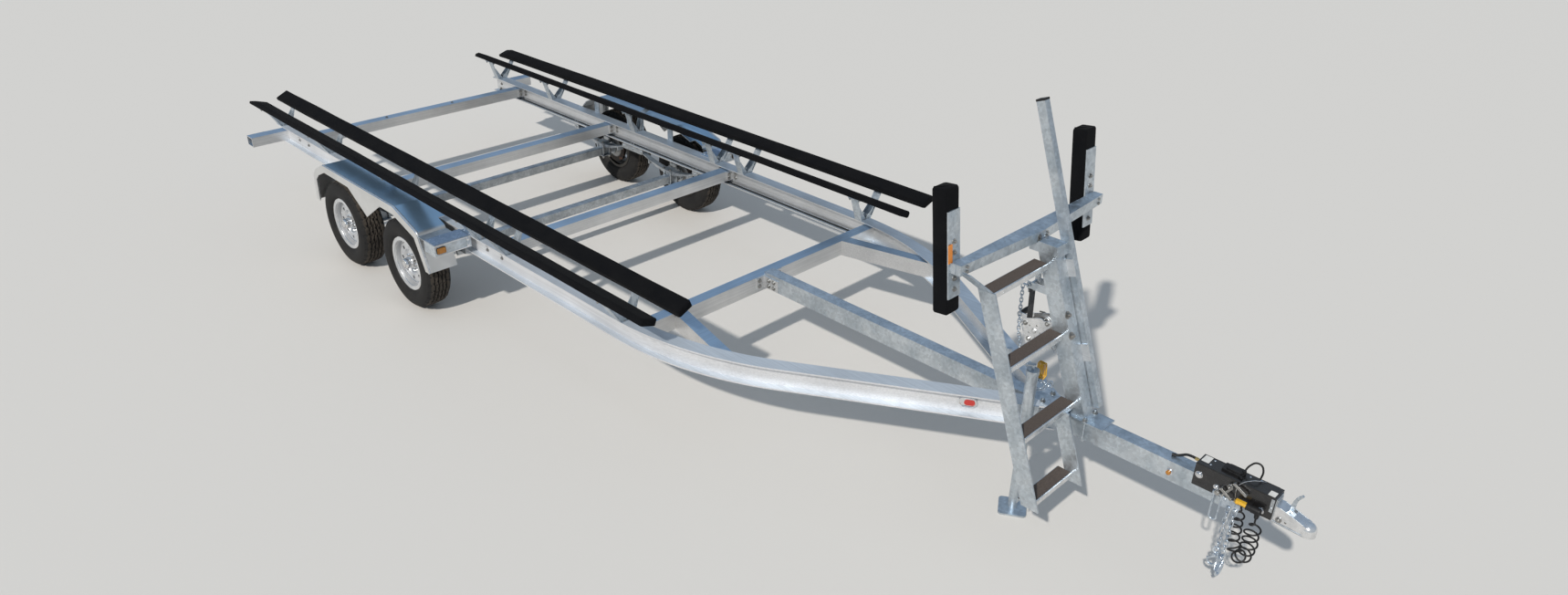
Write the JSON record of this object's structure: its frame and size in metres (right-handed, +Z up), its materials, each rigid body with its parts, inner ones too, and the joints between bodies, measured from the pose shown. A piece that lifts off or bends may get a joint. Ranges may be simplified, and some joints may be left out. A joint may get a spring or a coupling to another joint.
{
  "type": "tandem-axle pontoon boat trailer",
  "caption": "Road trailer for a pontoon boat: aluminium rails bent in to a tongue, carpeted bunks, tandem wheels under fenders, ladder, winch post, bow pads and a surge coupler.",
  "frame": {"origin": "on the ground, under the middle of the overall length and width", "axes": "+X forward to the coupler, +Y to the trailer's left, +Z up"},
  "size_m": [7.9601, 2.59, 2.0363],
  "materials": {
    "aluminium": "satin mill finish, dulled outdoors",
    "galvanised": "hot-dip galvanised, dull and spangled",
    "zinc_steel": "zinc plated",
    "wheel_paint": "silver paint",
    "black_paint": "gloss paint, chipped",
    "tyre": "matt",
    "rusty_iron": "surface rust",
    "carpet": "felted outdoor carpet",
    "strap": "woven webbing",
    "black_plastic": "moulded",
    "lamp_amber": "clear lens",
    "lamp_red": "clear lens",
    "cable_black": "matt",
    "plug_yellow": "moulded"
  },
  "bodies": {
    "chassis": {"actuator_case": "black_paint", "axle_clamps": "galvanised", "axle_front": "galvanised", "axle_rear": "galvanised", "bow_bar": "aluminium", "bow_pads": "carpet", "brake_calipers": "galvanised", "brake_line": "cable_black", "bunk_brackets_left": "galvanised", "bunk_brackets_right": "galvanised", "bunk_left_inner": "carpet", "bunk_left_outer": "carpet", "bunk_right_inner": "carpet", "bunk_right_outer": "carpet", "coupler": "zinc_steel", "coupler_latch": "zinc_steel", "crossmembers": "aluminium", "equalizers": "galvanised", "fender_left": "aluminium", "fender_right": "aluminium", "fender_supports": "aluminium", "frame_braces": "aluminium", "front_crossmember": "aluminium", "jack_body": "galvanised", "ladder": "aluminium", "ladder_treads": "aluminium", "lead_plug": "plug_yellow", "leaf_springs": "galvanised", "marker_lamps_amber": "lamp_amber", "marker_lamps_red": "lamp_red", "mast": "aluminium", "mast_cap": "black_plastic", "mast_links": "aluminium", "pad_brackets": "galvanised", "rail_left": "aluminium", "rail_right": "aluminium", "safety_chains": "zinc_steel", "spring_hangers": "galvanised", "strap_run": "strap", "tail_stubs": "aluminium", "tongue": "galvanised", "tongue_angles": "galvanised", "trailer_lead": "cable_black", "winch_frame": "zinc_steel", "winch_post": "aluminium"},
    "wheel_front_right": {"tyre_front_right": "tyre", "rim_front_right": "wheel_paint", "rotor_front_right": "rusty_iron"},
    "wheel_front_left": {"tyre_front_left": "tyre", "rim_front_left": "wheel_paint", "rotor_front_left": "rusty_iron"},
    "wheel_rear_right": {"tyre_rear_right": "tyre", "rim_rear_right": "wheel_paint", "rotor_rear_right": "rusty_iron"},
    "wheel_rear_left": {"tyre_rear_left": "tyre", "rim_rear_left": "wheel_paint", "rotor_rear_left": "rusty_iron"},
    "winch_spool": {"winch_drum": "zinc_steel", "strap_coil": "strap"},
    "jack_inner": {"jack_leg": "galvanised"}
  },
  "joints": [
    {"name": "wheel_front_right_spin", "type": "hinge", "parent": "chassis", "child": "wheel_front_right", "pos_m": [-1.365, -1.195, 0.31], "axis": [0, 1, 0], "continuous": true},
    {"name": "wheel_front_left_spin", "type": "hinge", "parent": "chassis", "child": "wheel_front_left", "pos_m": [-1.365, 1.195, 0.31], "axis": [0, 1, 0], "continuous": true},
    {"name": "wheel_rear_right_spin", "type": "hinge", "parent": "chassis", "child": "wheel_rear_right", "pos_m": [-2.247, -1.195, 0.31], "axis": [0, 1, 0], "continuous": true},
    {"name": "wheel_rear_left_spin", "type": "hinge", "parent": "chassis", "child": "wheel_rear_left", "pos_m": [-2.247, 1.195, 0.31], "axis": [0, 1, 0], "continuous": true},
    {"name": "winch_spin", "type": "hinge", "parent": "chassis", "child": "winch_spool", "pos_m": [2.583, 0, 0.955], "axis": [0, 1, 0], "continuous": true},
    {"name": "jack_slide", "type": "slide", "parent": "chassis", "child": "jack_inner", "axis": [0, 0, 1], "range_m": [-0.12, 0.25]}
  ]
}
